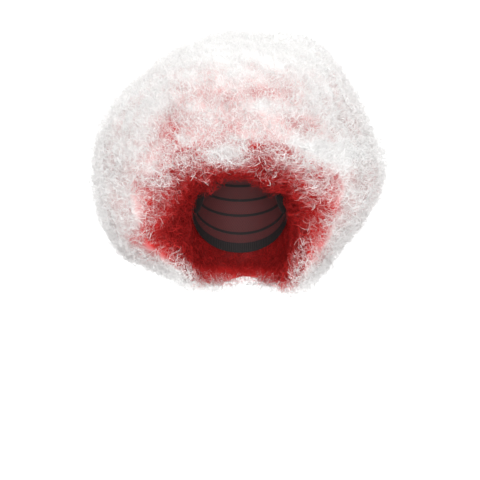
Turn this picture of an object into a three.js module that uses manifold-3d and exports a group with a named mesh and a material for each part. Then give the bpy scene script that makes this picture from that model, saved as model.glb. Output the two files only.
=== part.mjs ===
// Afro wig: a thin stretch-net cap that carries a big round ball of frizzed two-tone hair.
// The hair is sewn to the cap in six sections. Each is a backing with rounded locks fused to it.
// Millimetres, +Z up. The face opening looks along -Y, and the wearer's left is +X.
// The origin is the inside of the crown, where the wig sits on a head.
import * as THREE from 'three';
import { LoftGeometry } from 'three/addons/geometries/LoftGeometry.js';
import { mergeVertices } from 'three/addons/utils/BufferGeometryUtils.js';
import Module from 'manifold-3d';

const wasm = await Module();
wasm.setup();

// Room for the head, measured inside the cap
const HEAD_HALF_WIDTH = 77;
const HEAD_HALF_LENGTH = 97;
const CROWN_RISE = 118;
const NAPE_DROP = 150;
const NECK_HALF_WIDTH = 56;
const NECK_HALF_LENGTH = 66;
const NECK_LEVEL = -215;

// The cap: its wall, and the heights of its rim at the front, over the ears and at the nape
const CAP_WALL = 1.6;
const FRONT_RIM = -54;
const NAPE_RIM = -168;
const EAR_LIFT = 16;
const EAR_TURN = 92;
const EAR_WIDTH = 24;

// The ear tabs: where they start on the rim, how far round they reach, how far they hang,
// and the share of that drop which is left at their two ends
const TAB_TURN = 55;
const TAB_HALF_TURN = 11;
const TAB_DROP = 30;
const TAB_END_SHARE = 0.25;

// Clearances between neighbouring pieces
const SEAM_GAP = 0.3;
const HAIR_GAP = 0.7;

// The outer form of the hair: how far it reaches at each level to the wearer's right and left,
// to the front and to the back, measured from the axis of the head
const OUTER_FORM = [
  { level: 160, right: 66, left: 108, front: 66, back: 110 },
  { level: 118, right: 140, left: 152, front: 126, back: 168 },
  { level: 70, right: 190, left: 177, front: 161, back: 203 },
  { level: 15, right: 219, left: 206, front: 181, back: 223 },
  { level: -40, right: 222, left: 222, front: 185, back: 227 },
  { level: -95, right: 222, left: 203, front: 174, back: 216 },
  { level: -145, right: 203, left: 167, front: 148, back: 190 },
  { level: -190, right: 140, left: 133, front: 104, back: 150 },
  { level: -221, right: 80, left: 105, front: 60, back: 96 },
];
const OUTER_TOP = 179;
const OUTER_BOTTOM = -230;
const BALL_CENTRE = new THREE.Vector3(0, 21, -25);

// The locks: how far they stand above the backing, their size, how closely they are set,
// how much they differ from each other, and the numbers that make each one different
const LOCK_RISE = 10;
const LOCK_DEPTH = 34;
const LOCK_SPREAD = 55;
const LOCK_PITCH = 106;
const LOCK_UNEVENNESS = 0.11;
const LOCK_SIDES = 8;
const LOCK_RINGS = 5;
const TOP_LOCK_SEED = 1;
const ROW_LOCK_SEED = 2;
const SEEDS_PER_ROW = 10;

// Smaller locks on the walls of the face opening: a ring of them at each distance forward
const FACE_LOCK_RINGS = [
  { forward: 42, from: -24, to: 30, count: 4 },
  { forward: 42, from: 150, to: 204, count: 4 },
  { forward: 84, from: -18, to: 198, count: 10 },
  { forward: 128, from: 52, to: 128, count: 6 },
];
const FACE_LOCK_SPREAD = 31;
const FACE_LOCK_DEPTH = 20;
const FACE_LOCK_RISE = 7;

// The room in front of the face: an arch that opens out towards the front
const FACE_ROOM = [
  { forward: -25, halfWidth: 60, top: -78 },
  { forward: 6, halfWidth: 70, top: -64 },
  { forward: 48, halfWidth: 96, top: -58 },
  { forward: 80, halfWidth: 136, top: -56 },
  { forward: 104, halfWidth: 188, top: -49 },
  { forward: 150, halfWidth: 290, top: -30 },
  { forward: 260, halfWidth: 400, top: 42 },
];
const ARCH_SPRING = -150;
const ARCH_SQUARENESS = 2.2;
const ARCH_FOOT = -290;
const ARCH_STEPS = 18;

// The sections of hair: the turns that bound each one, counted from the front towards +X,
// the cone that parts the crown from the rest, and the level that parts the nape from the back
const SECTIONS = [
  { name: 'fringe_hair', from: -50, to: 50 },
  { name: 'left_side_hair', from: 50, to: 130 },
  { name: 'back_hair', from: 130, to: 230 },
  { name: 'right_side_hair', from: 230, to: 310 },
];
const CROWN_CONE_APEX = -100;
const CROWN_CONE_ANGLE = 38;
const NAPE_LEVEL = -128;
const FAR = 420;

// Facets, and how close two corners lie that count as one
const CORNER_MERGE = 1e-3;
const TURN_STEPS = 32;
const CAP_ROWS = 9;
const HOLLOW_ROWS = 14;
const CONE_STEPS = 32;
const TAB_STEPS = 8;

const hairFinish = new THREE.MeshStandardMaterial({ color: 0xeeddda, roughness: 0.9, metalness: 0 });
const netFinish = new THREE.MeshStandardMaterial({ color: 0x1f1a1b, roughness: 0.85, metalness: 0 });

const radians = THREE.MathUtils.degToRad;

// A closed solid from a geometry, with shared corners merged and collapsed triangles dropped
function solidOf(geometry) {
  const bare = new THREE.BufferGeometry();
  bare.setAttribute('position', geometry.attributes.position);
  bare.setIndex(geometry.index);
  const merged = mergeVertices(bare, CORNER_MERGE);
  const corners = merged.index.array;
  const triangles = [];
  for (let i = 0; i < corners.length; i += 3) {
    const [a, b, c] = [corners[i], corners[i + 1], corners[i + 2]];
    if (a !== b && b !== c && c !== a) triangles.push(a, b, c);
  }
  const vertProperties = new Float32Array(merged.attributes.position.array);
  const triVerts = new Uint32Array(triangles);
  return new wasm.Manifold(new wasm.Mesh({ numProp: 3, vertProperties, triVerts }));
}

// A named mesh of one sub-part, from its finished solid
function pieceOf(name, solid, material) {
  const { vertProperties, triVerts } = solid.getMesh();
  const geometry = new THREE.BufferGeometry();
  geometry.setAttribute('position', new THREE.BufferAttribute(new Float32Array(vertProperties), 3));
  geometry.setIndex(new THREE.BufferAttribute(new Uint32Array(triVerts), 1));
  geometry.computeVertexNormals();
  const mesh = new THREE.Mesh(geometry, material);
  mesh.name = name;
  return mesh;
}

// A steady spread of values between -1 and 1, so that no two locks are alike: the last digits of
// a sine that is scaled up
function variation(seed) {
  const frequency = 12.9898;
  const scale = 43758.5453;
  const wave = Math.sin(seed * frequency) * scale;
  return 2 * (wave - Math.floor(wave)) - 1;
}

// A point of the head's surface, or of a layer at some offset from it: the turn is counted from
// the front, and the tilt from the crown
function headPoint(turn, tilt, offset) {
  const ring = Math.sin(tilt);
  const height = Math.cos(tilt) > 0 ? CROWN_RISE + offset : NAPE_DROP;
  const x = (HEAD_HALF_WIDTH + offset) * ring * Math.sin(turn);
  const y = -(HEAD_HALF_LENGTH + offset) * ring * Math.cos(turn);
  return new THREE.Vector3(x, y, height * Math.cos(tilt) - CROWN_RISE);
}

// The tilt at which a layer of the head comes down to a level
function tiltAt(level, offset) {
  const height = level > -CROWN_RISE ? CROWN_RISE + offset : NAPE_DROP;
  return Math.acos((level + CROWN_RISE) / height);
}

// The rim runs from the front hairline over each ear and down to the nape
function rimLevel(turn) {
  const round = (1 - Math.cos(turn)) / 2;
  const fromEar = THREE.MathUtils.radToDeg(Math.acos(Math.cos(turn))) - EAR_TURN;
  const lift = EAR_LIFT * Math.exp(-((fromEar / EAR_WIDTH) ** 2));
  return THREE.MathUtils.lerp(FRONT_RIM, NAPE_RIM, round) + lift;
}

// The cap: a wall from the crown down to the rim, outside and back up inside
function capSolid() {
  const sections = [];
  for (let step = 0; step <= TURN_STEPS; step += 1) {
    const turn = ((step % TURN_STEPS) / TURN_STEPS) * Math.PI * 2;
    const wallLine = [];
    for (const offset of [CAP_WALL, 0]) {
      const rimTilt = tiltAt(rimLevel(turn), offset);
      const line = [];
      for (let row = 0; row <= CAP_ROWS; row += 1) {
        line.push(headPoint(turn, (rimTilt * row) / CAP_ROWS, offset));
      }
      wallLine.push(...(offset > 0 ? line : line.reverse()));
    }
    sections.push(wallLine);
  }
  return solidOf(new LoftGeometry(sections, { closed: false }));
}

// An ear tab: a rounded flap of the same wall, which carries on below the rim
function tabSolid(side) {
  const sections = [];
  for (let step = 0; step <= TAB_STEPS; step += 1) {
    const across = (2 * step) / TAB_STEPS - 1;
    const turn = radians(TAB_TURN + across * TAB_HALF_TURN);
    const top = rimLevel(turn) - SEAM_GAP;
    const drop = TAB_DROP * THREE.MathUtils.lerp(TAB_END_SHARE, 1, Math.sqrt(1 - across ** 2));
    const levels = [top, top - drop / 2, top - drop];
    const outside = levels.map((level) => headPoint(side * turn, tiltAt(level, CAP_WALL), CAP_WALL));
    const inside = levels.map((level) => headPoint(side * turn, tiltAt(level, 0), 0)).reverse();
    const ring = [...outside, ...inside];
    sections.push(side > 0 ? ring : ring.reverse());
  }
  return solidOf(new LoftGeometry(sections, { capStart: true, capEnd: true }));
}

// The hollow that the cap and the head fill, carried on down as room for the neck
function headRoom() {
  const offset = CAP_WALL + HAIR_GAP;
  const lowest = tiltAt(NECK_LEVEL, offset);
  const sections = [];
  for (let step = 0; step <= TURN_STEPS; step += 1) {
    const turn = ((step % TURN_STEPS) / TURN_STEPS) * Math.PI * 2;
    const line = [];
    for (let row = 0; row <= HOLLOW_ROWS; row += 1) {
      line.push(headPoint(turn, (lowest * row) / HOLLOW_ROWS, offset));
    }
    const neckX = NECK_HALF_WIDTH * Math.sin(turn);
    const neckY = -NECK_HALF_LENGTH * Math.cos(turn);
    line.push(new THREE.Vector3(neckX, neckY, ARCH_FOOT), new THREE.Vector3(0, 0, ARCH_FOOT));
    sections.push(line);
  }
  return solidOf(new LoftGeometry(sections, { closed: false }));
}

// A point of the arch around the face at some distance forward. The angle runs from the wearer's
// left over the top to the right, and below the spring line the arch comes straight down.
function archPoint({ forward, halfWidth, top }, angle) {
  const power = 2 / ARCH_SQUARENESS;
  const across = Math.cos(angle);
  const up = Math.sin(angle);
  const x = halfWidth * Math.sign(across) * Math.abs(across) ** (up > 0 ? power : 0);
  const rise = up > 0 ? (top - ARCH_SPRING) * up ** power : halfWidth * up;
  return new THREE.Vector3(x, -forward, ARCH_SPRING + rise);
}

// The arch of room in front of the face, one ring for each row of its table
function faceRoom() {
  const sections = FACE_ROOM.map((row) => {
    const ring = [new THREE.Vector3(row.halfWidth, -row.forward, ARCH_FOOT)];
    for (let step = 0; step <= ARCH_STEPS; step += 1) {
      ring.push(archPoint(row, (Math.PI * step) / ARCH_STEPS));
    }
    ring.push(new THREE.Vector3(-row.halfWidth, -row.forward, ARCH_FOOT));
    return ring;
  });
  return solidOf(new LoftGeometry(sections, { capStart: true, capEnd: true }));
}

// The row of the face opening at any distance forward, between the rows of its table
function faceRow(forward) {
  const next = FACE_ROOM.findIndex((row) => row.forward > forward);
  const [near, far] = [FACE_ROOM[next - 1], FACE_ROOM[next]];
  const share = (forward - near.forward) / (far.forward - near.forward);
  const halfWidth = THREE.MathUtils.lerp(near.halfWidth, far.halfWidth, share);
  return { forward, halfWidth, top: THREE.MathUtils.lerp(near.top, far.top, share) };
}

// A point of the outer form on one of its levels
function outerPoint(row, turn) {
  const across = Math.sin(turn);
  const forward = Math.cos(turn);
  const x = across * (across > 0 ? row.left : row.right);
  const y = -forward * (forward > 0 ? row.front : row.back);
  return new THREE.Vector3(x, y, row.level);
}

// The backing: the outer form drawn in by the height of the locks
function backingSolid() {
  const drawnIn = (point) => {
    const reach = point.clone().sub(BALL_CENTRE);
    return reach.setLength(reach.length() - LOCK_RISE).add(BALL_CENTRE);
  };
  const sections = [];
  for (let step = 0; step <= TURN_STEPS; step += 1) {
    const turn = ((step % TURN_STEPS) / TURN_STEPS) * Math.PI * 2;
    const top = new THREE.Vector3(BALL_CENTRE.x, BALL_CENTRE.y, OUTER_TOP);
    const bottom = new THREE.Vector3(BALL_CENTRE.x, BALL_CENTRE.y, OUTER_BOTTOM);
    const line = [top, ...OUTER_FORM.map((row) => outerPoint(row, turn)), bottom];
    sections.push(line.map(drawnIn));
  }
  return solidOf(new LoftGeometry(sections, { closed: false }));
}

// One lock: a rounded tuft with its tip at a point, standing along the outward direction there,
// uneven in its width, its length and how far it is sunk
function lockSolid(tip, outward, spread, depth, seed) {
  const [wide, long, sunk] = [0, 0.25, 0.5].map((step) => 1 + LOCK_UNEVENNESS * variation(seed + step));
  const tuft = new THREE.SphereGeometry(1, LOCK_SIDES, LOCK_RINGS);
  tuft.scale(spread * wide, depth, spread * long);
  tuft.rotateY(seed);
  tuft.applyQuaternion(new THREE.Quaternion().setFromUnitVectors(new THREE.Vector3(0, 1, 0), outward));
  const centre = tip.clone().addScaledVector(outward, -depth * sunk);
  tuft.translate(centre.x, centre.y, centre.z);
  return solidOf(tuft);
}

// A lock of the ball, which stands straight out from the middle of it
function ballLock(tip, seed) {
  const outward = tip.clone().sub(BALL_CENTRE).normalize();
  return lockSolid(tip, outward, LOCK_SPREAD, LOCK_DEPTH, seed);
}

// Locks all over the outer form, in staggered rows a set pitch apart
function ballLocks() {
  const top = new THREE.Vector3(BALL_CENTRE.x, BALL_CENTRE.y, OUTER_TOP);
  const locks = [ballLock(top, TOP_LOCK_SEED)];
  OUTER_FORM.forEach((row, index) => {
    const girth = (Math.PI * (row.right + row.left + row.front + row.back)) / 2;
    const count = Math.round(girth / LOCK_PITCH);
    for (let place = 0; place < count; place += 1) {
      const turn = ((place + (index % 2) / 2) / count) * Math.PI * 2;
      locks.push(ballLock(outerPoint(row, turn), ROW_LOCK_SEED + SEEDS_PER_ROW * index + place));
    }
  });
  return locks;
}

// Locks on the walls of the face opening, which stand in towards the middle of the arch
function faceLocks() {
  return FACE_LOCK_RINGS.flatMap(({ forward, from, to, count }) => {
    const row = faceRow(forward);
    return Array.from({ length: count }, (_, place) => {
      const wall = archPoint(row, radians(from + ((to - from) * place) / (count - 1)));
      const inward = new THREE.Vector3(-wall.x, -forward, ARCH_SPRING - wall.z).normalize();
      const tip = wall.clone().addScaledVector(inward, FACE_LOCK_RISE);
      return lockSolid(tip, inward, FACE_LOCK_SPREAD, FACE_LOCK_DEPTH, forward + place);
    });
  });
}

// A cone about the axis of the head, opening upwards, moved along the axis by a clearance
function crownCone(clearance) {
  const height = FAR;
  const radius = height * Math.tan(radians(CROWN_CONE_ANGLE));
  const cone = new THREE.ConeGeometry(radius, height, CONE_STEPS);
  cone.rotateX(-Math.PI / 2);
  const lift = clearance / Math.sin(radians(CROWN_CONE_ANGLE));
  cone.translate(0, 0, CROWN_CONE_APEX + height / 2 + lift);
  return solidOf(cone);
}

// A wedge between two turns about the axis of the head, held back by half a seam on each side
function wedge({ from, to }, bottom, top) {
  const halfAngle = radians(to - from) / 2;
  const middle = radians((from + to) / 2);
  const setBack = SEAM_GAP / 2 / Math.sin(halfAngle);
  const outline = new THREE.Shape();
  const ray = (turn, length) => [Math.sin(turn) * length, -Math.cos(turn) * length];
  const [startX, startY] = ray(middle, setBack);
  outline.moveTo(startX, startY);
  for (const turn of [middle - halfAngle, middle, middle + halfAngle]) {
    const [x, y] = ray(turn, FAR);
    outline.lineTo(x + startX, y + startY);
  }
  outline.closePath();
  const block = new THREE.ExtrudeGeometry(outline, { depth: top - bottom, bevelEnabled: false });
  block.translate(0, 0, bottom);
  return solidOf(block);
}

const group = new THREE.Group();
group.add(pieceOf('cap', capSolid(), netFinish));
group.add(pieceOf('left_ear_tab', tabSolid(1), netFinish));
group.add(pieceOf('right_ear_tab', tabSolid(-1), netFinish));

const joined = (mass, lock) => mass.add(lock);
const ball = ballLocks().reduce(joined, backingSolid());
const facing = faceLocks().reduce(joined).intersect(ball);
const hair = ball.subtract(faceRoom()).add(facing).subtract(headRoom());

group.add(pieceOf('crown_hair', hair.intersect(crownCone(SEAM_GAP / 2)), hairFinish));
const skirt = hair.subtract(crownCone(-SEAM_GAP / 2));
for (const section of SECTIONS) {
  const bottom = section.name === 'back_hair' ? NAPE_LEVEL + SEAM_GAP / 2 : -FAR;
  group.add(pieceOf(section.name, skirt.intersect(wedge(section, bottom, FAR)), hairFinish));
}
const back = SECTIONS.find(({ name }) => name === 'back_hair');
group.add(pieceOf('nape_hair', skirt.intersect(wedge(back, -FAR, NAPE_LEVEL - SEAM_GAP / 2)), hairFinish));

export default group;
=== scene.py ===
import math

import bmesh
import bpy
import numpy as np
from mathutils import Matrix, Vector, noise
from mathutils.bvhtree import BVHTree
from mathutils.kdtree import KDTree


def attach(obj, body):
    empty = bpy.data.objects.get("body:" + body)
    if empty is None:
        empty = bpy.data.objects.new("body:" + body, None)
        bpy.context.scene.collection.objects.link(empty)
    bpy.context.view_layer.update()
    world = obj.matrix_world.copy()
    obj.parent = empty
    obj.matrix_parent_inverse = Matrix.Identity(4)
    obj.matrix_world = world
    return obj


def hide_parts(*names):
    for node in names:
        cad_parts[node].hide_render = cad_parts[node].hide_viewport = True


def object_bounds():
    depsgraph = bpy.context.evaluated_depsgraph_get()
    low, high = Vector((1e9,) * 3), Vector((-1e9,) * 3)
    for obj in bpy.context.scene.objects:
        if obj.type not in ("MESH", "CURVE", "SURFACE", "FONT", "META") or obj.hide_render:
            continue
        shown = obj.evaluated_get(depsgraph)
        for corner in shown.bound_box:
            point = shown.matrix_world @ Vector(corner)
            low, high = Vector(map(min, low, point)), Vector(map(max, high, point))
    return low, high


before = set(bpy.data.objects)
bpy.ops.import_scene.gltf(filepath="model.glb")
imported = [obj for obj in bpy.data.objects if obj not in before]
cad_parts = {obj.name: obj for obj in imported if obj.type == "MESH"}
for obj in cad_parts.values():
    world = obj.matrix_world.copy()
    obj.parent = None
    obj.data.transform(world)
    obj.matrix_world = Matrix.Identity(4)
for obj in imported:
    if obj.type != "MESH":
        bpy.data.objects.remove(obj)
cad_low, cad_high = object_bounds()


# Cap
# The wig is built on a thin cap of dark elastic net that stretches over the head. Rows of tape
# run round it on the inside and carry the sewn roots of the hair, which show red through the net,
# and a soft elastic band is folded over its rim and stitched down.
HEAD_MIDDLE = Vector((0, 0, -0.118))
TAPE_WIDTH = 0.0042
TAPE_RISE = 0.0009
BAND_RISE = 0.0011
NET_MESHES_ROUND = 150
NET_MESHES_DOWN = 54
NET_THREAD = (0.012, 0.009, 0.010, 1)
NET_BEHIND = (0.105, 0.008, 0.009, 1)
TAPE_DARK = (0.007, 0.006, 0.006, 1)
TAPE_LIGHT = (0.022, 0.017, 0.018, 1)
THREAD_EDGE = 0.34
THREAD_TOP = 0.40
RIB_TOP = 0.1
RIB_FOOT = 0.4
TAPE_RIBS = 260
BAND_RIBS = 170
TAPE_MATERIAL = 1
BAND_MATERIAL = 2
MERGE_DISTANCE = 0.00001
SLANT = 0.05


class Socket:
    """An output of a shader node. Sums and products of sockets and numbers add Math nodes."""

    def __init__(self, finish, output):
        self.finish = finish
        self.output = output

    def maths(self, operation, *values):
        links = dict(enumerate(values))
        return self.finish.node("ShaderNodeMath", {"operation": operation}, links)

    def __add__(self, other):
        return self.maths("ADD", self, other)

    def __sub__(self, other):
        return self.maths("SUBTRACT", self, other)

    def __rsub__(self, other):
        return self.maths("SUBTRACT", other, self)

    def __mul__(self, other):
        return self.maths("MULTIPLY", self, other)

    __radd__ = __add__
    __rmul__ = __mul__


class Finish:
    """A material with one Principled shader, fed through plain words."""

    def __init__(self, name, **constants):
        self.material = bpy.data.materials.new(name)
        self.material.use_nodes = True
        self.tree = self.material.node_tree
        self.shader = self.tree.nodes["Principled BSDF"]
        for socket, value in constants.items():
            self.shader.inputs[socket.replace("_", " ")].default_value = value

    def node(self, kind, settings=None, links=None, output=0):
        made = self.tree.nodes.new(kind)
        for key, value in (settings or {}).items():
            if key == "stops":
                self.set_stops(made.color_ramp, value)
            else:
                setattr(made, key, value)
        for key, value in (links or {}).items():
            self.feed(made.inputs[key], value)
        return Socket(self, made.outputs[output])

    def set_stops(self, ramp, stops):
        while len(ramp.elements) < len(stops):
            ramp.elements.new(0.5)
        for element, (place, colour) in zip(ramp.elements, stops):
            element.position = place
            element.color = colour

    def feed(self, socket, value):
        if isinstance(value, Socket):
            self.tree.links.new(value.output, socket)
        else:
            socket.default_value = value

    def colour(self, socket):
        self.feed(self.shader.inputs["Base Color"], socket)

    def bump(self, height, strength, distance):
        links = {"Strength": strength, "Distance": distance, "Height": height}
        normal = self.node("ShaderNodeBump", links=links)
        self.feed(self.shader.inputs["Normal"], normal)


def round_and_down(finish):
    """The cap's own map: the share of the way round it, and the share of the way down."""
    uv = finish.node("ShaderNodeUVMap", {"uv_map": "round_and_down"})
    split = {"Vector": uv}
    return (finish.node("ShaderNodeSeparateXYZ", links=split, output=0),
            finish.node("ShaderNodeSeparateXYZ", links=split, output=1))


def ridge(value):
    """How far a value is from the middle between two whole numbers, from 0 to 0.5."""
    middle = value.maths("FRACT", value) - 0.5
    return middle.maths("ABSOLUTE", middle)


def net_finish():
    finish = Finish("cap_net", Roughness=0.8)
    turn, down = round_and_down(finish)
    rising = ridge(turn * NET_MESHES_ROUND + down * NET_MESHES_DOWN)
    falling = ridge(turn * NET_MESHES_ROUND - down * NET_MESHES_DOWN)
    thread = rising.maths("MAXIMUM", rising, falling)
    stops = [(THREAD_EDGE, NET_BEHIND), (THREAD_TOP, NET_THREAD)]
    finish.colour(finish.node("ShaderNodeValToRGB", {"stops": stops}, {"Fac": thread}))
    finish.bump(thread, strength=0.6, distance=0.0006)
    return finish.material


def tape_finish(name, ribs):
    finish = Finish(name, Roughness=0.75, Specular_IOR_Level=0.25)
    turn = round_and_down(finish)[0]
    rib = ridge(turn * ribs)
    stops = [(RIB_TOP, TAPE_LIGHT), (RIB_FOOT, TAPE_DARK)]
    finish.colour(finish.node("ShaderNodeValToRGB", {"stops": stops}, {"Fac": rib}))
    finish.bump(rib, strength=0.7, distance=0.0008)
    return finish.material


def joined_copy(node):
    """A node's triangles as one closed skin."""
    skin = bmesh.new()
    skin.from_mesh(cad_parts[node].data)
    bmesh.ops.remove_doubles(skin, verts=skin.verts, dist=MERGE_DISTANCE)
    return skin


def raise_faces(skin, faces, rise):
    """Extrudes faces out of the skin by a rise, with crisp edges, and gives back those on top."""
    made = bmesh.ops.extrude_face_region(skin, geom=list(faces))["geom"]
    tops = [part for part in made if isinstance(part, bmesh.types.BMFace)]
    crease = skin.edges.layers.float.get("crease_edge") or skin.edges.layers.float.new("crease_edge")
    walls = {side for face in tops for edge in face.edges for side in edge.link_faces} - set(tops)
    for wall in walls:
        for edge in wall.edges:
            if not all(side in walls for side in edge.link_faces):
                edge[crease] = 1
                edge.smooth = False
    ways = {vert: Vector() for face in tops for vert in face.verts}
    for face in tops:
        for vert in face.verts:
            ways[vert] += face.normal
    for vert, way in ways.items():
        vert.co += way.normalized() * rise
    return tops


def map_round_and_down(skin):
    """Writes the cap's own map, with faces that cross the seam at the back kept whole."""
    layer = skin.loops.layers.uv.new("round_and_down")
    for face in skin.faces:
        places = [loop.vert.co - HEAD_MIDDLE for loop in face.loops]
        turns = [math.atan2(place.x, -place.y) / math.tau + 0.5 for place in places]
        crossing = max(turns) - min(turns) > 0.5
        for loop, place, turn in zip(face.loops, places, turns):
            lifted = turn + 1 if crossing and turn < 0.5 else turn
            tilt = math.atan2(Vector((place.x, place.y)).length, place.z)
            loop[layer].uv = (lifted, tilt / math.pi)


def finish_piece(skin, name, materials, node, levels=0):
    """A bmesh as a finished piece that stands for a node."""
    mesh = bpy.data.meshes.new(name)
    skin.to_mesh(mesh)
    skin.free()
    mesh.shade_smooth()
    piece = bpy.data.objects.new(name, mesh)
    bpy.context.scene.collection.objects.link(piece)
    for material in materials:
        mesh.materials.append(material)
    if levels:
        smooth = piece.modifiers.new("smooth", "SUBSURF")
        smooth.levels = levels
        smooth.render_levels = levels
    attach(piece, "root")
    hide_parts(node)


def rings_round(skin):
    """How many edges each corner of the cap lies from the middle of its crown, on the inside."""
    middle = min(skin.verts, key=lambda vert: vert.co.length)
    ring = {middle: 0}
    reached = [middle]
    for vert in reached:
        for edge in vert.link_edges:
            other = edge.other_vert(vert)
            if other not in ring:
                ring[other] = ring[vert] + 1
                reached.append(other)
    return ring


def square_up(skin):
    """Leaves the cap with rows of quads, and one more row along the inside of its rim."""
    ring = rings_round(skin)
    rim = max(ring.values()) // 2
    slanted = []
    for edge in skin.edges:
        one, other = edge.verts
        apart = Vector((one.co.x, one.co.y)).angle(Vector((other.co.x, other.co.y)), 0)
        if ring[one] != ring[other] and apart > SLANT and 0 < ring[one] + ring[other] < 4 * rim:
            slanted.append(edge)
    bmesh.ops.dissolve_edges(skin, edges=slanted)
    ribs = [edge for edge in skin.edges if {ring[vert] for vert in edge.verts} == {rim - 1, rim}]
    bmesh.ops.subdivide_edges(skin, edges=ribs, cuts=1)
    return rim + 1


def make_cap():
    skin = joined_copy("cap")
    rim = square_up(skin)
    ring = rings_round(skin)
    for face in skin.faces:
        if {ring[vert] for vert in face.verts} == {rim - 1, rim}:
            face.material_index = BAND_MATERIAL
    rows = [edge for edge in skin.edges
            if ring[edge.verts[0]] == ring[edge.verts[1]] and 1 < ring[edge.verts[0]] < rim - 1]
    tapes = bmesh.ops.bevel(skin, geom=rows, offset=TAPE_WIDTH / 2, offset_type="OFFSET", segments=1,
                            profile=0.5, affect="EDGES", material=-1)["faces"]
    for face in raise_faces(skin, tapes, TAPE_RISE):
        face.material_index = TAPE_MATERIAL
    band = [face for face in skin.faces if face.material_index == BAND_MATERIAL]
    raise_faces(skin, band, BAND_RISE)
    bmesh.ops.recalc_face_normals(skin, faces=skin.faces)
    map_round_and_down(skin)
    materials = [
        net_finish(),
        tape_finish("weft_tape", TAPE_RIBS),
        tape_finish("rim_elastic", BAND_RIBS),
    ]
    finish_piece(skin, "net_cap", materials, "cap", levels=1)


make_cap()


# Ear tabs
# A small rounded flap of dark felt hangs from the rim in front of each ear, with a turned and
# stitched edge. It holds the side of the wig down close to the head.
TAB_HEM = 0.0032
TAB_PLY = 0.0004
FELT_DARK = (0.007, 0.006, 0.006, 1)
FELT_LIGHT = (0.026, 0.020, 0.020, 1)
FELT_LOW = 0.35
FELT_HIGH = 0.7
FELT_NAP = 900.0
TAB_FORWARD = 0.6
PANEL_FACING = 0.6


def felt_finish():
    finish = Finish("tab_felt", Roughness=0.9, Specular_IOR_Level=0.2)
    place = finish.node("ShaderNodeTexCoord", output=3)
    nap = finish.node("ShaderNodeTexNoise", {}, {"Vector": place, "Scale": FELT_NAP, "Detail": 3.0})
    stops = [(FELT_LOW, FELT_DARK), (FELT_HIGH, FELT_LIGHT)]
    finish.colour(finish.node("ShaderNodeValToRGB", {"stops": stops}, {"Fac": nap}))
    finish.bump(nap, strength=0.5, distance=0.0005)
    return finish.material


def make_tab(node, name, felt):
    skin = joined_copy(node)
    outward = Vector((1 if node.startswith("left") else -1, -TAB_FORWARD, 0)).normalized()
    for side in (1, -1):
        panel = [face for face in skin.faces if side * face.normal.dot(outward) > PANEL_FACING]
        bmesh.ops.inset_region(skin, faces=panel, thickness=TAB_HEM, depth=-TAB_PLY, use_even_offset=True)
    finish_piece(skin, name, [felt], node, levels=2)


felt = felt_finish()
make_tab("left_ear_tab", "left_tab", felt)
make_tab("right_ear_tab", "right_tab", felt)


# Crown hair
# Fine synthetic hair, frizzed so that it stands out on all sides: deep red at the root, bleached to
# white at the tip. It is sewn to the crown of the cap, and its tips spread into soft tufts.

# How far the hair reaches from its middle, and the room for the head that it keeps clear
HAIR_MIDDLE = np.array([0.0, 0.0, -0.100])
HEAD_HALF = np.array([0.0788, 0.0986, 0.1196])
HEAD_DROP = 0.150
HEAD_REBOUND = 0.4
NECK_LEVEL = -0.215
LOWEST_TIPS = -0.235
SHORTEST_HAIR = 0.045
LEAST_REACH = 0.85
CHART_TURNS = 96
CHART_TILTS = 49
HAIR_SECTIONS = [
    "crown_hair", "fringe_hair", "left_side_hair", "right_side_hair", "back_hair", "nape_hair",
]

# Seams between the sections, and how far the hair is lifted to close them
SEAM_REACH = 0.0012
SEAM_FACING = -0.5
SEAM_GRAIN = 0.008
SEAM_LEFT = 0.003
SEAM_LEFT_UNDER = 0.011
SEAM_LIFT = 0.020
SEAM_FADE = 0.3
STRANDS_FACE_OUT = 0.4
CORE_FACES_OUT = 0.65

# Dye from root to tip
DEEP_RED = (0.20, 0.004, 0.004, 1)
ROOT_RED = (0.45, 0.010, 0.010, 1)
BRIGHT_RED = (0.62, 0.032, 0.030, 1)
ROSE = (0.67, 0.25, 0.25, 1)
BLUSH = (0.84, 0.685, 0.675, 1)
TIP_WHITE = (0.95, 0.945, 0.94, 1)
DYE_STEPS = [
    (0.0, DEEP_RED), (0.18, ROOT_RED), (0.42, BRIGHT_RED),
    (0.62, ROSE), (0.80, BLUSH), (0.94, TIP_WHITE),
]
MAP_HALF = 0.49
MAP_SLOPE = 1.35

# Where the dye is hidden under other hair, bleached on the outside, or came out uneven
AIRY_DEPTH = 0.090
OUTER_BLEACH = 0.205
UNBLEACHED_FACING = 0.35
HANGING_HEIGHT = 0.085
HANGING_BLEACH = 0.12
NAPE_HEIGHT = 0.050
NAPE_BLEACH = 0.9
NAPE_HALF = 0.042
NAPE_FADE = 0.030
FRONT_FADE = 0.16
CLOUD_SIZE = 0.032
CLOUD_AMOUNT = 0.07
CLOUD_FALL = 1
CLOUD_STEP = 2
CLOUD_LAYERS = 3

# Lighter and darker hairs, and painted shade that darkens pale hair low down on the outer sides
LIGHTEST_SHADE = 0.95
DARKEST_SHADE = 0.05
SHADE_BASE = 0.77
SHADE_GAIN = 0.28
PAINTED_SHADE_HEIGHT = 0.095
PAINTED_SHADE_START = 1.5
PAINTED_SHADE_FROM = 0.085
PAINTED_SHADE_FADE = 0.040
PAINTED_SHADE_SHARE = 0.55
PAINTED_SHADE_SHARE_FADE = 0.25

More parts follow.
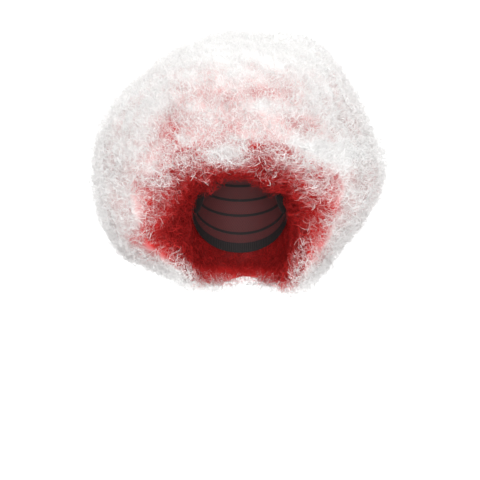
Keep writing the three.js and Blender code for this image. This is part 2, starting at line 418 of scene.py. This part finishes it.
# Tufts, and the frizzed strands that are gathered into them
TUFT_SPACING = 0.022
TUFT_TRIES = 2500
TUFT_LEAN = 0.4
TUFT_RISE = 0.003
TUFT_RISE_SPREAD = 0.0022
TUFT_ROUNDING = 0.005
BUNDLE = 2
STRAND_STEPS = 4
STRAND_LENGTH = 0.019
STRAND_WIDTH = 0.00038
STRAND_TAPER = 0.6
LENGTH_RANGE = (0.55, 1.4)
LENGTH_SIDEWAYS = 1.2
LENGTH_LOST_OUTWARD = 0.4
WIDTH_RANGE = (0.6, 1.2)
RIBBON_ON_MAP = 0.008
RUN_SPREAD = 0.45
CURL_RANGE = (0.7, 1.8)
FRIZZ_RANGE = (0.4, 1.5)
SWAY = 0.9
KINK = 0.30
STRAY_STRANDS = 0.07
STRAY_RISE = (0.002, 0.007)
RISE_SPREAD = 0.0025
HIGHEST_INSIDE = 0.005
HIGHEST_OUTSIDE = 0.010
FRAY_RANGE = (0.00015, 0.0005)
RED_FRAY = 6
RED_BELOW = 0.7

# Frost, which makes single strands paler than the hair about them
FROST_MEAN = 0.24
FROST_START = 0.11
FROST_MOST = 0.45
FROST_AT_ROOT = 0.35
FROST_GAIN = 1.2
PALE_STRANDS = 0.08
PALE_FROST = (0.1, 0.45)
REDDEST_SHARE = 0.05

# The dense hair under the strands
CORE_DEPTH = 0.012
CORE_GRAIN = 0.009
CORE_UNEVEN = 0.0012
CORE_SEED = 17
EDGE_SHALLOWER = 0.45
EDGE_FADE = 0.3
CORE_PALER = 0.065
CORE_REDDER = 0.4
CORE_PALEST = 1.1
CORE_RED_REACH = 0.5
CORE_SHADE = 0.55
CORE_SHADE_SWING = 0.2
CORE_SHADE_WAVES = np.array([90.0, 70.0, 110.0])

# White lobes and red partings on the front of the hair: their place across and up, their size,
# and how much whiter or, below zero, redder the hair is there
FRONT_PATCHES = [
    {"across": -0.030, "up": 0.036, "wide": 0.100, "tall": 0.050, "whiter": -0.05},
    {"across": -0.036, "up": 0.044, "wide": 0.020, "tall": 0.011, "whiter": -0.07},
    {"across": -0.006, "up": 0.052, "wide": 0.020, "tall": 0.011, "whiter": -0.06},
    {"across": 0.020, "up": 0.059, "wide": 0.020, "tall": 0.011, "whiter": -0.08},
    {"across": 0.048, "up": 0.068, "wide": 0.022, "tall": 0.013, "whiter": -0.07},
    {"across": 0.020, "up": 0.042, "wide": 0.030, "tall": 0.008, "whiter": 0.07},
    {"across": -0.088, "up": 0.076, "wide": 0.024, "tall": 0.016, "whiter": -0.08},
    {"across": -0.106, "up": 0.054, "wide": 0.030, "tall": 0.018, "whiter": 0.03},
    {"across": 0.000, "up": 0.155, "wide": 0.120, "tall": 0.040, "whiter": 0.20},
    {"across": -0.096, "up": -0.002, "wide": 0.019, "tall": 0.028, "whiter": -0.15},
    {"across": 0.088, "up": 0.015, "wide": 0.024, "tall": 0.014, "whiter": -0.10},
    {"across": 0.116, "up": 0.070, "wide": 0.030, "tall": 0.030, "whiter": 0.06},
    {"across": 0.006, "up": 0.012, "wide": 0.026, "tall": 0.014, "whiter": 0.02},
    {"across": -0.044, "up": 0.010, "wide": 0.030, "tall": 0.020, "whiter": -0.05},
    {"across": -0.015, "up": -0.028, "wide": 0.028, "tall": 0.014, "whiter": 0.64},
    {"across": 0.050, "up": 0.016, "wide": 0.024, "tall": 0.016, "whiter": -0.04},
    {"across": 0.092, "up": -0.068, "wide": 0.018, "tall": 0.016, "whiter": 0.19},
    {"across": -0.130, "up": -0.111, "wide": 0.030, "tall": 0.020, "whiter": 0.08},
    {"across": 0.089, "up": -0.154, "wide": 0.024, "tall": 0.016, "whiter": 0.08},
    {"across": 0.142, "up": -0.139, "wide": 0.025, "tall": 0.020, "whiter": 0.12},
    {"across": 0.112, "up": -0.024, "wide": 0.040, "tall": 0.016, "whiter": 0.16},
    {"across": 0.036, "up": -0.039, "wide": 0.016, "tall": 0.018, "whiter": -0.27},
    {"across": 0.021, "up": -0.020, "wide": 0.014, "tall": 0.010, "whiter": -0.20},
    {"across": -0.116, "up": -0.144, "wide": 0.032, "tall": 0.020, "whiter": -0.22},
    {"across": -0.090, "up": -0.125, "wide": 0.030, "tall": 0.022, "whiter": -0.20},
    {"across": 0.110, "up": -0.104, "wide": 0.032, "tall": 0.030, "whiter": -0.09},
    {"across": -0.066, "up": -0.203, "wide": 0.036, "tall": 0.024, "whiter": 0.85},
    {"across": 0.072, "up": -0.178, "wide": 0.026, "tall": 0.020, "whiter": 0.40},
    {"across": -0.050, "up": -0.054, "wide": 0.022, "tall": 0.010, "whiter": -0.16},
    {"across": 0.124, "up": -0.176, "wide": 0.022, "tall": 0.014, "whiter": -0.14},
]

NEARLY_NOTHING = 1e-9
ball_middle = np.array((cad_low + cad_high) / 2)
ball_half = np.array((cad_high - cad_low) / 2)


def unit(vectors):
    return vectors / np.maximum(np.linalg.norm(vectors, axis=-1, keepdims=True), NEARLY_NOTHING)


def reach(directions, middle, half):
    """How far a ray from the middle of the hair runs before it leaves an ellipsoid."""
    start = (HAIR_MIDDLE - middle) / half
    slope = directions / half
    a = np.sum(slope * slope, axis=-1)
    b = np.sum(slope * start, axis=-1)
    c = np.sum(start * start) - 1
    return (-b + np.sqrt(np.maximum(b * b - a * c, 0))) / a


def skin_of(name):
    """A node's triangles, and a tree to measure distances to them."""
    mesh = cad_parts[name].data
    mesh.calc_loop_triangles()
    points = np.empty(len(mesh.vertices) * 3)
    mesh.vertices.foreach_get("co", points)
    corners = np.empty(len(mesh.loop_triangles) * 3, dtype=np.int32)
    mesh.loop_triangles.foreach_get("vertices", corners)
    points, corners = points.reshape(-1, 3), corners.reshape(-1, 3)
    tree = BVHTree.FromPolygons(points.tolist(), corners.tolist())
    return {"corners": points[corners], "tree": tree}


skins = {name: skin_of(name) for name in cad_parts}


def around(directions):
    """The turn of directions round the hair, from 0 to 1, and their tilt from straight up, 0 to 1."""
    turn = np.arctan2(directions[..., 0], -directions[..., 1]) / math.tau
    return turn % 1, np.arccos(np.clip(directions[..., 2], -1, 1)) / math.pi


def measure_tips():
    """How far the hair reaches in every direction, as a smooth chart of turns and tilts."""
    trees = [skins[node]["tree"] for node in HAIR_SECTIONS]
    turn, tilt = np.meshgrid(np.arange(CHART_TURNS) / CHART_TURNS * math.tau,
                             np.arange(CHART_TILTS) / (CHART_TILTS - 1) * math.pi)
    ways = np.stack([np.sin(turn) * np.sin(tilt), -np.cos(turn) * np.sin(tilt), np.cos(tilt)], axis=-1)
    chart = LEAST_REACH * reach(ways, ball_middle, ball_half)
    for row, column in np.ndindex(chart.shape):
        way = ways[row, column]
        for tree in trees:
            hit = tree.ray_cast(HAIR_MIDDLE + way, -way)
            if hit[0] is not None:
                chart[row, column] = max(chart[row, column], 1 - hit[3])
    for smoothing in (np.max, np.mean, np.mean):
        sides = np.concatenate([chart[:, -1:], chart, chart[:, :1]], axis=1)
        framed = np.concatenate([sides[:1], sides, sides[-1:]])
        near = [framed[i:i + CHART_TILTS, j:j + CHART_TURNS] for i in range(3) for j in range(3)]
        chart = smoothing(near, axis=0)
    return chart


tips = measure_tips()


def tip_distance(directions):
    """How far the hair reaches in the given directions, between the places on the chart."""
    turn, tilt = around(directions)
    across, down = turn * CHART_TURNS, tilt * (CHART_TILTS - 1)
    column = np.floor(across).astype(int)
    row = np.minimum(np.floor(down).astype(int), CHART_TILTS - 2)
    right, low = across - column, down - row
    column, following = column % CHART_TURNS, (column + 1) % CHART_TURNS
    upper = tips[row, column] * (1 - right) + tips[row, following] * right
    lower = tips[row + 1, column] * (1 - right) + tips[row + 1, following] * right
    return upper * (1 - low) + lower * low


def share_of_length(points):
    """How far along the hair a point lies, from 0 at the root to 1 at the tip."""
    away = points - HAIR_MIDDLE
    direction = unit(away)
    root = reach(direction, np.array(HEAD_MIDDLE), HEAD_HALF)
    tip = np.maximum(tip_distance(direction), root + SHORTEST_HAIR)
    return (np.linalg.norm(away, axis=-1) - root) / (tip - root)


def patches(points):
    """How much whiter the hair is at points on the front."""
    total = np.zeros(points.shape[:-1])
    front = np.clip(0.5 - points[..., 1] / FRONT_FADE, 0, 1)
    for patch in FRONT_PATCHES:
        across = (points[..., 0] - patch["across"]) / patch["wide"]
        up = (points[..., 2] - patch["up"]) / patch["tall"]
        total += front * patch["whiter"] * np.exp(-across * across - up * up)
    return total


def dye(points, depth, facing):
    """The share of the hair's length at points, less where they lie deep under the tips."""
    hidden = np.maximum(depth, 0) * np.maximum(facing, 0) / AIRY_DEPTH
    height = points[..., 2] - LOWEST_TIPS
    hanging = np.clip(1 - height / HANGING_HEIGHT, 0, 1)
    lowest = np.clip(1 - height / NAPE_HEIGHT, 0, 1)
    beside = np.clip((np.abs(points[..., 0]) - NAPE_HALF) / NAPE_FADE, 0, 1)
    bleached = OUTER_BLEACH * (facing - UNBLEACHED_FACING) + HANGING_BLEACH * hanging * beside
    bleached = bleached + NAPE_BLEACH * lowest * (1 - beside)
    return share_of_length(points) + bleached - hidden + patches(points)


def clouds(points):
    """How much whiter the dye came out at points, unevenly, as clouds."""
    uneven = [noise.fractal(point / CLOUD_SIZE, CLOUD_FALL, CLOUD_STEP, CLOUD_LAYERS)
              for point in map(Vector, points)]
    return CLOUD_AMOUNT * np.array(uneven)


def on_the_map(share):
    """A share of the hair's length as a place across the map, which it never quite leaves."""
    return 0.5 + MAP_HALF * np.tanh(MAP_SLOPE * (share - 0.5))


def hair_finish():
    """Root to tip along the map's first axis, and lighter or darker hairs, with painted shade low on the
    outer sides, along its second.
    """
    finish = Finish("frosted_hair", Roughness=0.7, Specular_IOR_Level=0.2)
    uv = finish.node("ShaderNodeUVMap", {"uv_map": "OFBake"})
    along = finish.node("ShaderNodeSeparateXYZ", links={"Vector": uv}, output=0)
    shade = finish.node("ShaderNodeSeparateXYZ", links={"Vector": uv}, output=1)
    stops = [(float(on_the_map(share)), colour) for share, colour in DYE_STEPS]
    dyed = finish.node("ShaderNodeValToRGB", {"stops": stops}, {"Fac": along})
    links = {"Color": dyed, "Value": shade * SHADE_GAIN + SHADE_BASE}
    finish.colour(finish.node("ShaderNodeHueSaturation", links=links))
    return finish.material


def cut_small(corners):
    """Triangles halved across their longest side until none is longer than the grain."""
    while True:
        sides = np.linalg.norm(corners - np.roll(corners, -1, axis=1), axis=2)
        large = sides.max(axis=1) > SEAM_GRAIN
        if not large.any():
            return corners
        turned = (sides[large].argmax(axis=1)[:, None] + np.arange(3)) % 3
        a, b, c = np.moveaxis(np.take_along_axis(corners[large], turned[:, :, None], axis=1), 1, 0)
        middle = (a + b) / 2
        halves = [np.stack([a, middle, c], axis=1), np.stack([middle, b, c], axis=1)]
        corners = np.concatenate([corners[~large], *halves])


def open_triangles(node, neighbours):
    """The triangles of a section, without those that lie against one of its neighbours."""
    corners = cut_small(skins[node]["corners"])
    normals = unit(np.cross(corners[:, 1] - corners[:, 0], corners[:, 2] - corners[:, 0]))
    others = [skins[name]["tree"] for name in neighbours if name != node]
    clear = []
    for middle, normal in zip(corners.mean(axis=1), normals):
        near = min((tree.find_nearest(middle) for tree in others), key=lambda found: found[3])
        clear.append(near[3] > SEAM_REACH or np.dot(near[1], normal) > SEAM_FACING)
    return corners[np.array(clear)]


def scatter(corners, count, draw):
    """Points spread evenly over triangles, with the outward direction at each."""
    normals = np.cross(corners[:, 1] - corners[:, 0], corners[:, 2] - corners[:, 0])
    areas = np.linalg.norm(normals, axis=1)
    chosen = draw.choice(len(corners), size=count, p=areas / areas.sum())
    weights = draw.dirichlet((1, 1, 1), size=count)
    return np.einsum("ij,ijk->ik", weights, corners[chosen]), unit(normals)[chosen]


def gather(corners, spots, draw):
    """Tufts over triangles: for each spot the way to the middle of its tuft, and its lift."""
    tufts = []
    for spot in scatter(corners, TUFT_TRIES, draw)[0]:
        if not tufts or np.min(np.linalg.norm(np.array(tufts) - spot, axis=1)) > TUFT_SPACING:
            tufts.append(spot)
    tree = KDTree(len(tufts))
    for index, middle in enumerate(tufts):
        tree.insert(middle, index)
    tree.balance()
    nearest = np.array([tree.find(spot)[1] for spot in spots])
    lean = (np.array(tufts)[nearest] - spots) / TUFT_SPACING
    lean /= np.maximum(np.linalg.norm(lean, axis=1, keepdims=True), 1)
    rise = draw.normal(TUFT_RISE, TUFT_RISE_SPREAD, len(tufts))[nearest]
    return lean, rise - TUFT_ROUNDING * np.sum(lean * lean, axis=1)


def clear_of_head(points):
    """Points that would lie inside the head, turned back out of its skin."""
    half = np.broadcast_to(HEAD_HALF, points.shape).copy()
    half[..., 2] = np.where(points[..., 2] < HEAD_MIDDLE.z, HEAD_DROP, HEAD_HALF[2])
    away = points - np.array(HEAD_MIDDLE)
    size = np.linalg.norm(away / half, axis=-1, keepdims=True)
    inside = (size < 1) & (points[..., 2:] > NECK_LEVEL)
    outside = (1 + HEAD_REBOUND * (1 - size)) / np.maximum(size, NEARLY_NOTHING)
    return np.where(inside, np.array(HEAD_MIDDLE) + away * outside, points)


def seam_lift(points, facing, left, least):
    """How far hair on the outside is lifted where a seam lies deep under the tips beside it."""
    away = points - HAIR_MIDDLE
    short = tip_distance(unit(away)) - np.linalg.norm(away, axis=-1)
    lift = np.clip(short - left, 0, SEAM_LIFT) * np.clip((facing - least) / SEAM_FADE, 0, 1)
    return unit(away) * lift[:, None]


def frizz(radial, outward, facing, lean, draw):
    """Frizzed strands that all start at one point: their points from root to tip."""
    count = len(radial)
    run = unit(radial - outward * np.minimum(facing, 0) + draw.normal(0, RUN_SPREAD, radial.shape))
    side = unit(np.cross(run, draw.normal(size=run.shape)))
    other = np.cross(run, side)
    length = STRAND_LENGTH * draw.uniform(*LENGTH_RANGE, (count, 1))
    length = length * (LENGTH_SIDEWAYS - LENGTH_LOST_OUTWARD * np.abs(facing))
    phase = draw.uniform(0, math.tau, (count, 1))
    curl = draw.uniform(*CURL_RANGE, (count, 1))
    amount = draw.uniform(*FRIZZ_RANGE, (count, 1))
    sway = draw.normal(0, SWAY, run.shape)
    spot = np.zeros((count, 3))
    points = [spot]
    for step in range(STRAND_STEPS):
        angle = phase + curl * step
        swirl = amount * (np.cos(angle) * side + np.sin(angle) * other)
        bend = (lean * TUFT_LEAN + sway) * step / STRAND_STEPS + draw.normal(0, KINK, run.shape)
        spot = spot + unit(run + swirl + bend) * length / STRAND_STEPS
        points.append(spot)
    return np.stack(points, axis=1)


def settle(points, spots, outward, facing, lift, draw):
    """Strands moved so that their tips lie about their spots, and their depth under the surface."""
    count = len(points)
    stray = np.where(draw.random(count) < STRAY_STRANDS, draw.uniform(*STRAY_RISE, count), 0)
    height = lift + stray + draw.normal(0, RISE_SPREAD, count)
    top = np.where(facing[:, 0] < 0, HIGHEST_INSIDE, HIGHEST_OUTSIDE)
    anchor = points[:, -2:].mean(axis=1)
    points = points + (spots + outward * height[:, None] - anchor)[:, None]
    above = np.sum((points - spots[:, None]) * outward[:, None], axis=2)
    over = np.maximum(above - top[:, None], 0)
    return clear_of_head(points - outward[:, None] * over[:, :, None]), over - above


def frost(share, draw):
    """The dye of strands, some of them frosted paler than the hair about them."""
    count = len(share)
    paler = np.minimum(draw.exponential(FROST_MEAN, (count, 1)) - FROST_START, FROST_MOST)
    pale = draw.random((count, 1)) < PALE_STRANDS
    paler += np.where(pale, draw.uniform(*PALE_FROST, (count, 1)), 0)
    return share + paler * np.clip(FROST_AT_ROOT + FROST_GAIN * share, 0, 1)


def grow(corners, count, draw):
    """Frizzed bundles of strands over triangles: their points from root to tip, and their dye."""
    spots, outward = scatter(corners, count, draw)
    lean, lift = gather(corners, spots, draw)
    radial = unit(spots - HAIR_MIDDLE)
    facing = np.sum(radial * outward, axis=1, keepdims=True)
    points = frizz(radial, outward, facing, lean, draw)
    points, depth = settle(points, spots, outward, facing, lift, draw)
    share = np.maximum(dye(points, depth, facing) + clouds(spots)[:, None], REDDEST_SHARE)
    red = np.clip(1 - share.mean(axis=1) / RED_BELOW, 0, 1)
    share = frost(share, draw)
    fray = np.linspace(*FRAY_RANGE, STRAND_STEPS + 1) * (1 + RED_FRAY * red[:, None])
    parted = np.repeat(fray, BUNDLE, axis=0)[:, :, None] * draw.normal(size=(count * BUNDLE, 1, 3))
    points = points + seam_lift(spots, facing[:, 0], SEAM_LEFT, STRANDS_FACE_OUT)[:, None]
    return np.repeat(points, BUNDLE, axis=0) + parted, np.repeat(share, BUNDLE, axis=0)


def painted_low_shade(points, share):
    """How much painted shade darkens pale hair at points, from 0 to 1, low down on the outer sides."""
    low = np.clip(PAINTED_SHADE_START - (points[..., 2] - LOWEST_TIPS) / PAINTED_SHADE_HEIGHT, 0, 1)
    outer = np.clip((np.abs(points[..., 0]) - PAINTED_SHADE_FROM) / PAINTED_SHADE_FADE, 0, 1)
    return low * outer * np.clip((share - PAINTED_SHADE_SHARE) / PAINTED_SHADE_SHARE_FADE, 0, 1)


def ribbons(points, share, draw):
    """Flat ribbons along strands, which taper to a point, as corners, faces and places on the map."""
    count, stations, _ = points.shape
    along = np.linspace(0, 1, stations)[None, :, None]
    tangent = unit(np.gradient(points, axis=1))
    flat = unit(np.cross(tangent, unit(draw.normal(size=(count, 1, 3)))))
    half = STRAND_WIDTH / 2 * draw.uniform(*WIDTH_RANGE, (count, 1, 1))
    half = half * (1 - STRAND_TAPER * along ** 2)
    pairs = np.stack([points - flat * half, points + flat * half], axis=2)[:, :-1]
    verts = np.concatenate([pairs.reshape(count, -1, 3), points[:, -1:]], axis=1)
    shade = LIGHTEST_SHADE - (LIGHTEST_SHADE - DARKEST_SHADE) * draw.uniform(0, 1, (count, 1)) ** 2
    # Painted shade: pale strands low on the outer sides are darkened.
    shade -= (shade - DARKEST_SHADE) * painted_low_shade(points.mean(axis=1), share.mean(axis=1))[:, None]
    sides = np.tile([-RIBBON_ON_MAP, RIBBON_ON_MAP], stations - 1)
    shades = np.concatenate([shade + sides, shade], axis=1)
    shares = np.concatenate([np.repeat(share[:, :-1], 2, axis=1), share[:, -1:]], axis=1)
    uv = np.stack([on_the_map(shares), shades], axis=-1)
    last = 2 * (stations - 1)
    corner = [[2 * k, 2 * k + 1, 2 * k + 3] for k in range(stations - 2)]
    corner += [[2 * k, 2 * k + 3, 2 * k + 2] for k in range(stations - 2)]
    corner += [[last - 2, last - 1, last]]
    faces = np.arange(count)[:, None, None] * (last + 1) + np.array(corner)
    return verts.reshape(-1, 3), faces.reshape(-1, 3), uv.reshape(-1, 2)


def soft_form():
    """All sections as one soft form: its corners, the way outward at each, and its faces."""
    whole = bmesh.new()
    for node in HAIR_SECTIONS:
        whole.from_mesh(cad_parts[node].data)
    form = bpy.data.objects.new("dense_form", bpy.data.meshes.new("dense_form"))
    whole.to_mesh(form.data)
    whole.free()
    bpy.context.scene.collection.objects.link(form)
    grain = form.modifiers.new("grain", "REMESH")
    grain.mode = "VOXEL"
    grain.voxel_size = CORE_GRAIN
    soft = bmesh.new()
    soft.from_object(form, bpy.context.evaluated_depsgraph_get())
    bpy.data.objects.remove(form)
    bmesh.ops.smooth_vert(soft, verts=soft.verts, factor=0.5,
                          use_axis_x=True, use_axis_y=True, use_axis_z=True)
    bmesh.ops.triangulate(soft, faces=soft.faces)
    soft.normal_update()
    soft.verts.index_update()
    ways = np.array([vert.normal[:] for vert in soft.verts])
    outer = np.array([vert.co[:] for vert in soft.verts])
    faces = np.array([[vert.index for vert in face.verts] for face in soft.faces])
    soft.free()
    return outer, ways, faces


def core_depth(outer, ways):
    """How deep the dense hair lies under the surface: less along an edge of it."""
    shown = np.concatenate([open_triangles(node, HAIR_SECTIONS) for node in HAIR_SECTIONS])
    corner = np.arange(3 * len(shown)).reshape(-1, 3)
    surface = BVHTree.FromPolygons(shown.reshape(-1, 3).tolist(), corner.tolist())
    near = np.array([surface.find_nearest(spot)[3] for spot in outer - ways * CORE_DEPTH])
    edge = np.clip((1 - near / CORE_DEPTH) / EDGE_FADE, 0, 1)
    return CORE_DEPTH * (1 - EDGE_SHALLOWER * edge)


def draw_in():
    """The dense hair under the loose tips: the soft form of all sections, drawn in all round."""
    outer, ways, faces = soft_form()
    depth = core_depth(outer, ways)
    uneven = np.random.default_rng(CORE_SEED).normal(0, CORE_UNEVEN, len(ways))
    verts = outer - ways * (depth + uneven)[:, None]
    facing = np.sum(unit(verts - HAIR_MIDDLE) * ways, axis=1)
    share = dye(verts, depth, facing) + clouds(verts)
    share += CORE_PALER - CORE_REDDER * np.clip(CORE_PALEST - share, 0, CORE_RED_REACH)
    shade = CORE_SHADE + CORE_SHADE_SWING * np.sin(verts @ CORE_SHADE_WAVES)
    # Painted shade: the pale dense hair low on the outer sides is darkened.
    shade -= (shade - DARKEST_SHADE) * painted_low_shade(verts, share)
    uv = np.stack([on_the_map(share), shade], axis=-1)
    outward = np.sum(unit(outer - HAIR_MIDDLE) * ways, axis=1)
    verts = verts + seam_lift(outer, outward, SEAM_LEFT_UNDER, CORE_FACES_OUT)
    trees = [skins[node]["tree"] for node in HAIR_SECTIONS]
    middles = verts[faces].mean(axis=1)
    owner = [np.argmin([tree.find_nearest(spot)[3] for tree in trees]) for spot in middles]
    return {"verts": verts, "faces": faces, "uv": uv, "owner": np.array(owner)}


def core(node):
    """A section's own part of the dense hair."""
    faces = dense["faces"][dense["owner"] == HAIR_SECTIONS.index(node)]
    used, places = np.unique(faces, return_inverse=True)
    return dense["verts"][used], places.reshape(-1, 3), dense["uv"][used]


def hair_mesh(name, parts):
    """One joined mesh of triangles from several sets of corners, faces and places on the map."""
    starts = np.cumsum([0] + [len(verts) for verts, faces, uv in parts])
    verts = np.concatenate([verts for verts, faces, uv in parts])
    loops = np.concatenate([faces.ravel() + start for (_, faces, _), start in zip(parts, starts)])
    uv = np.concatenate([uv for verts, faces, uv in parts])[loops]
    mesh = bpy.data.meshes.new(name)
    mesh.vertices.add(len(verts))
    mesh.vertices.foreach_set("co", verts.astype(np.float32).ravel())
    mesh.loops.add(len(loops))
    mesh.loops.foreach_set("vertex_index", loops.astype(np.int32))
    mesh.polygons.add(len(loops) // 3)
    mesh.polygons.foreach_set("loop_start", np.arange(0, len(loops), 3, dtype=np.int32))
    mesh.update(calc_edges=True)
    mesh.uv_layers.new(name="OFBake").data.foreach_set("uv", uv.astype(np.float32).ravel())
    mesh.shade_smooth()
    return mesh


def sew_hair(node, name, strands, seed, loose=None):
    """A section of hair: its dense core, strands all over it and any loose hairs, for its node."""
    draw = np.random.default_rng(seed)
    corners = open_triangles(node, skins)
    parts = [core(node), ribbons(*grow(corners, strands // BUNDLE, draw), draw)]
    if loose:
        parts.append(ribbons(*loose(corners, draw), draw))
    mesh = hair_mesh(name, parts)
    mesh.materials.append(frosted_hair)
    piece = bpy.data.objects.new(name, mesh)
    bpy.context.scene.collection.objects.link(piece)
    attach(piece, "root")
    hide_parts(node)


frosted_hair = hair_finish()
dense = draw_in()
sew_hair("crown_hair", "crown_strands", strands=27000, seed=11)


# Fringe hair
# The front rows, sewn along the hairline. They stand up and out over the forehead, and a few pale
# hairs that have come loose lie knotted in the parting at the front.
KNOT_ACROSS = 0.038
KNOT_UP = -0.038
KNOT_RADIUS = 0.010
KNOT_FRONT = -0.07
KNOT_TRIES = 20000
KNOT_HAIRS = 30
KNOT_STEPS = 10
KNOT_LENGTH = 0.022
KNOT_ROOT_DEPTH = 0.002
KNOT_SPREAD = 0.6
KNOT_KINK = 0.55
KNOT_FALL = np.array([0, 0, 0.2])
KNOT_SAG = 0.1
KNOT_SHARE = 0.85
KNOT_SHARE_SPREAD = 0.06


def knot(corners, draw):
    """Loose pale hairs that start round a place on the front: their points and their dye."""
    spots, outward = scatter(corners, KNOT_TRIES, draw)
    away = np.hypot(spots[:, 0] - KNOT_ACROSS, spots[:, 2] - KNOT_UP)
    chosen = np.flatnonzero((away < KNOT_RADIUS) & (spots[:, 1] < KNOT_FRONT))[:KNOT_HAIRS]
    roots, outward = spots[chosen], outward[chosen]
    heading = unit(outward + draw.normal(0, KNOT_SPREAD, roots.shape) - KNOT_FALL)
    points = [roots - outward * KNOT_ROOT_DEPTH]
    for step in range(KNOT_STEPS):
        heading = unit(heading + draw.normal(0, KNOT_KINK, roots.shape) - KNOT_SAG * KNOT_FALL)
        points.append(points[-1] + heading * KNOT_LENGTH / KNOT_STEPS)
    share = np.full((len(roots), KNOT_STEPS + 1), KNOT_SHARE)
    share += draw.normal(0, KNOT_SHARE_SPREAD, (len(roots), 1))
    return np.stack(points, axis=1), share


sew_hair("fringe_hair", "fringe_strands", strands=24000, seed=12, loose=knot)


# Side hair
# The rows over each ear, of the same hair, sewn to the sides of the cap. Their roots make the red
# walls beside the face.
sew_hair("left_side_hair", "left_side_strands", strands=27000, seed=13)
sew_hair("right_side_hair", "right_side_strands", strands=27000, seed=14)


# Back hair
# The rows over the back of the head, of the same hair, and below them the nape rows, which are sewn
# along the rim and hang behind the neck.
sew_hair("back_hair", "back_strands", strands=18500, seed=15)
sew_hair("nape_hair", "nape_strands", strands=12000, seed=16)


# Studio
# A plain pale floor that sweeps up behind, soft light from above and from the front, a weak lamp
# low in the face opening, and a level camera in front of it.
FLOOR_LEVEL = -0.750
SWEEP_BACK = 2.6
SWEEP_RADIUS = 1.2
SWEEP_TOP = 4.0
SWEEP_STEPS = 16
SWEEP_TOLERANCE = 0.01
FLOOR_REACH = 6.0
FLOOR_GREY = (0.50, 0.50, 0.50, 1)
WORLD_STRENGTH = 0.38
CAMERA_DISTANCE = 1.80
CAMERA_LEVEL = -0.147
FRAME_WIDTH = 0.744
SENSOR_WIDTH = 36


def floor_finish():
    return Finish("pale_floor", Roughness=0.9, Base_Color=FLOOR_GREY).material


def make_floor():
    skin = bmesh.new()
    bmesh.ops.create_grid(skin, x_segments=1, y_segments=1, size=FLOOR_REACH)
    bmesh.ops.translate(skin, verts=skin.verts, vec=(0, SWEEP_BACK - FLOOR_REACH, FLOOR_LEVEL))
    behind = SWEEP_BACK - SWEEP_TOLERANCE
    back = [edge for edge in skin.edges if all(vert.co.y > behind for vert in edge.verts)]
    made = bmesh.ops.extrude_edge_only(skin, edges=back)["geom"]
    risen = [part for part in made if isinstance(part, bmesh.types.BMVert)]
    bmesh.ops.translate(skin, verts=risen, vec=(0, 0, SWEEP_TOP))
    bmesh.ops.bevel(skin, geom=back, offset=SWEEP_RADIUS, offset_type="OFFSET", segments=SWEEP_STEPS,
                    profile=0.5, affect="EDGES", material=-1)
    mesh = bpy.data.meshes.new("floor")
    skin.to_mesh(mesh)
    skin.free()
    mesh.shade_smooth()
    mesh.materials.append(floor_finish())
    floor = bpy.data.objects.new("floor", mesh)
    bpy.context.scene.collection.objects.link(floor)


def soft_light(name, place, target, size, power):
    light = bpy.data.lights.new(name, "AREA")
    light.size = size
    light.energy = power
    lamp = bpy.data.objects.new(name, light)
    lamp.location = place
    lamp.rotation_euler = (Vector(target) - Vector(place)).to_track_quat("-Z", "Y").to_euler()
    bpy.context.scene.collection.objects.link(lamp)


def make_camera():
    lens = bpy.data.cameras.new("camera")
    lens.sensor_width = SENSOR_WIDTH
    lens.lens = SENSOR_WIDTH * (CAMERA_DISTANCE + ball_middle[1]) / FRAME_WIDTH
    camera = bpy.data.objects.new("camera", lens)
    camera.location = (0, -CAMERA_DISTANCE, CAMERA_LEVEL)
    camera.rotation_euler = (math.pi / 2, 0, 0)
    bpy.context.scene.collection.objects.link(camera)
    bpy.context.scene.camera = camera


make_floor()
soft_light("overhead", place=(0, -0.3, 1.7), target=(0, 0, -0.05), size=1.4, power=22)
soft_light("front", place=(0.05, -2.6, -0.15), target=(0, 0, -0.05), size=1.2, power=55)
soft_light("fill", place=(0, -0.30, -0.25), target=(0, 0.02, -0.14), size=0.2, power=0.28)
soft_light("backdrop", place=(0, 1.6, 2.2), target=(0, 2.6, 1.3), size=1.6, power=180)
world = bpy.data.worlds.new("studio")
world.use_nodes = True
background = world.node_tree.nodes["Background"]
background.inputs["Color"].default_value = (1, 1, 1, 1)
background.inputs["Strength"].default_value = WORLD_STRENGTH
bpy.context.scene.world = world
bpy.context.scene.view_settings.view_transform = "Standard"
make_camera()
